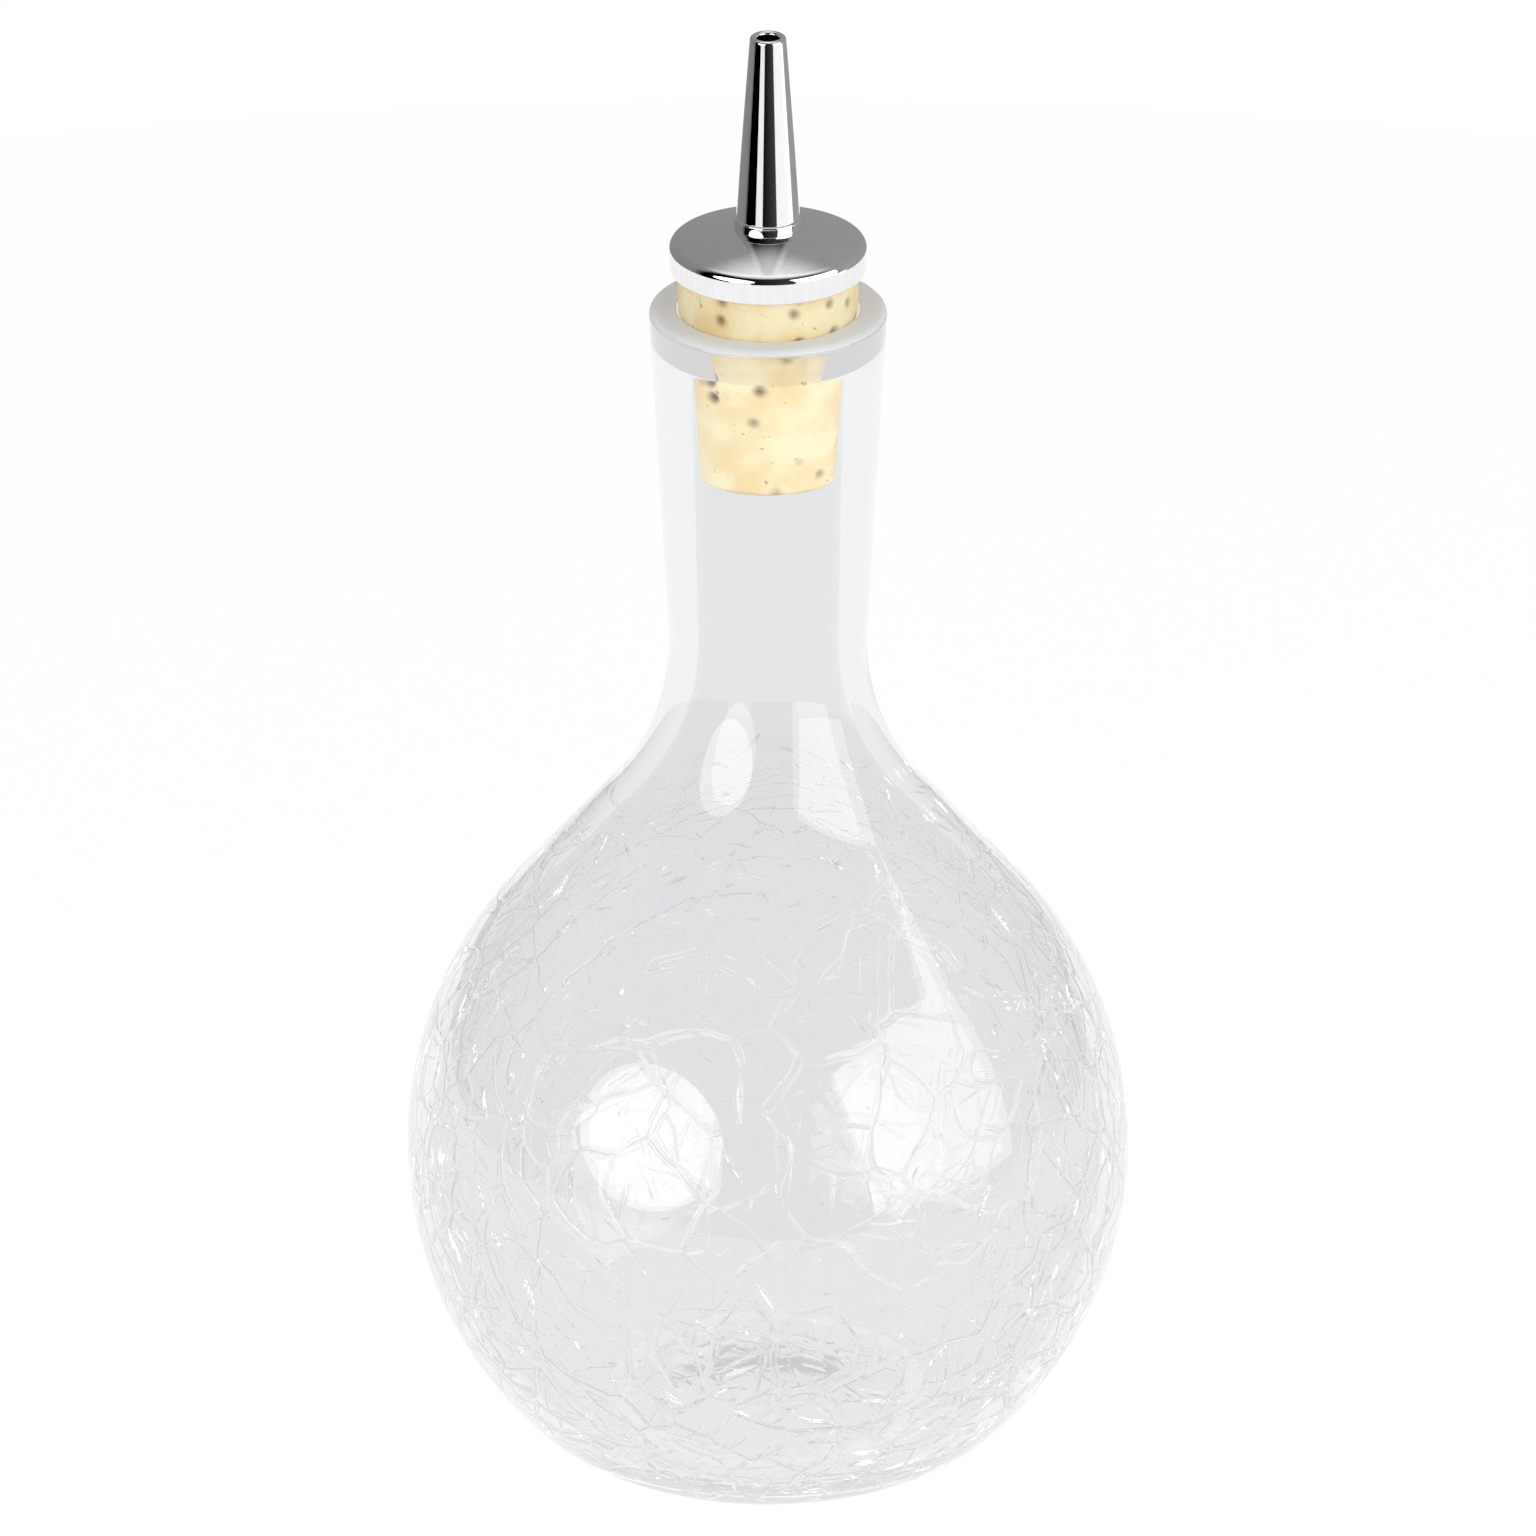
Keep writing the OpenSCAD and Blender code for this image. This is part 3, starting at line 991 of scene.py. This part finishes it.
class MakeMetal(bpy.types.Operator):
    """Turn the chrome cap and spout, and finish the pour tube"""

    bl_idname = "bottle.make_metal"
    bl_label = "Cap, spout and tube"

    def execute(self, context):
        sizes = context.scene.bottle_stopper
        finish = context.scene.bottle_finishes
        chrome = metal_material(
            "polished_chrome", finish.chrome, smoothest=0.03, roughest=0.09, depth=0.002 * MM
        )
        spout_z = land_height(sizes)
        profiles = {
            "cap_disc": cap_profile(sizes, spout_z),
            "spout": spout_profile(sizes, spout_z),
        }
        for node, profile in profiles.items():
            piece = lathe("chrome_" + node, profile, chrome, sizes.segments)
            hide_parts(node)
            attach(piece, "stopper")
        steel = metal_material(
            "tube_steel", finish.steel, smoothest=0.22, roughest=0.4, depth=0.01 * MM
        )
        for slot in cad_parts["pour_tube"].material_slots:
            slot.material = steel
        return {"FINISHED"}


def stage_piece(name, form, material):
    """A stage piece from the mesh that was made for it"""
    mesh = bpy.data.meshes.new(name)
    form.to_mesh(mesh)
    form.free()
    mesh.materials.append(material)
    return new_piece(name, mesh)


def add_table(studio):
    """The white table"""
    disc = bmesh.new()
    bmesh.ops.create_circle(disc, cap_ends=True, radius=studio.table_r, segments=96)
    return stage_piece("table", disc, table_material())


def add_walls(studio):
    """The studio walls, which glossy rays alone can see"""
    ball = bmesh.new()
    bmesh.ops.create_icosphere(ball, subdivisions=4, radius=studio.shell_r)
    walls = stage_piece("studio_walls", ball, shell_material())
    walls.visible_camera = False
    walls.visible_diffuse = False
    walls.visible_transmission = False
    walls.visible_shadow = False
    walls.visible_volume_scatter = False
    return walls


def aim_lamp(name, shape, azimuth, elevation, width, height, studio, target):
    """Adds a softbox that faces the bottle, placed by its angles from the camera's side"""
    lamp = bpy.data.lights.new(name, "AREA")
    lamp.shape = shape
    lamp.size = width
    lamp.size_y = height
    lamp.energy = studio.lamp_level * math.pi * width * height
    box = bpy.data.objects.new(name, lamp)
    bpy.context.collection.objects.link(box)
    round_way = math.radians(azimuth)
    up_way = math.radians(elevation)
    way = Vector((
        math.sin(round_way) * math.cos(up_way),
        -math.cos(round_way) * math.cos(up_way),
        math.sin(up_way),
    ))
    box.location = target + way * studio.lamp_far
    box.rotation_euler = way.to_track_quat("Z", "Y").to_euler()
    box.visible_camera = False


class MakeStage(bpy.types.Operator):
    """Set the table, the studio walls, the lamps, the world and the camera"""

    bl_idname = "bottle.make_stage"
    bl_label = "Stage"

    def execute(self, context):
        studio = context.scene.bottle_studio
        table = add_table(studio)
        walls = add_walls(studio)
        target = Vector((0.0, 0.0, context.scene.bottle_glass.belly_z))
        for softbox in SOFTBOXES:
            aim_lamp(*softbox, studio, target)
        self.light_world(context.scene, studio)
        self.place_camera(context.scene, studio)
        context.scene.view_settings.view_transform = "Standard"
        return {"FINISHED"}

    def light_world(self, scene, studio):
        """White where it is seen, and a plain level of light elsewhere"""
        world = bpy.data.worlds.new("studio")
        world.use_nodes = True
        tree = world.node_tree
        tree.nodes.clear()
        plain = (1, 1, 1, 1)
        white = put(tree, "ShaderNodeBackground", {"Color": plain, "Strength": 1.0})
        fill = put(tree, "ShaderNodeBackground", {"Color": plain, "Strength": studio.fill_level})
        mixed = mix_shaders(tree, seen_directly(tree), fill.outputs[0], white.outputs[0])
        end = put(tree, "ShaderNodeOutputWorld")
        tree.links.new(mixed, end.inputs["Surface"])
        scene.world = world

    def place_camera(self, scene, studio):
        """The photograph's viewpoint"""
        camera = bpy.data.objects.new("camera", bpy.data.cameras.new("camera"))
        scene.collection.objects.link(camera)
        camera.location = (0.0, -studio.camera_far, studio.camera_up)
        camera.rotation_euler = (math.pi / 2 - studio.camera_down, 0.0, 0.0)
        camera.data.lens = studio.camera_lens
        scene.camera = camera


class BottlePanel(bpy.types.Panel):
    """Lists what the add-on builds"""

    bl_idname = "VIEW3D_PT_bottle"
    bl_label = "Bottle"
    bl_space_type = "VIEW_3D"
    bl_region_type = "UI"
    bl_category = "Bottle"

    def draw(self, context):
        for operator in OPERATORS:
            self.layout.operator(operator.bl_idname)
        for group in GROUPS:
            settings = getattr(context.scene, group)
            for name in settings.bl_rna.properties.keys():
                if name not in ("rna_type", "name"):
                    self.layout.prop(settings, name)


OPERATORS = (MakeStage, MakeBottle, MakeCork, MakeMetal)
GROUPS = {
    "bottle_glass": GlassSizes,
    "bottle_stopper": StopperSizes,
    "bottle_finishes": Finishes,
    "bottle_studio": Studio,
}


def register():
    """Registers the settings, operators and panel"""
    for group, kind in GROUPS.items():
        bpy.utils.register_class(kind)
        setattr(bpy.types.Scene, group, bpy.props.PointerProperty(type=kind))
    for kind in (*OPERATORS, BottlePanel):
        bpy.utils.register_class(kind)


def unregister():
    """Takes the settings, operators and panel away"""
    for kind in (BottlePanel, *reversed(OPERATORS)):
        bpy.utils.unregister_class(kind)
    for group, kind in reversed(GROUPS.items()):
        delattr(bpy.types.Scene, group)
        bpy.utils.unregister_class(kind)


def main():
    register()
    bpy.ops.bottle.make_stage()
    bpy.ops.bottle.make_bottle()
    bpy.ops.bottle.make_cork()
    bpy.ops.bottle.make_metal()


if __name__ == "__main__":
    main()
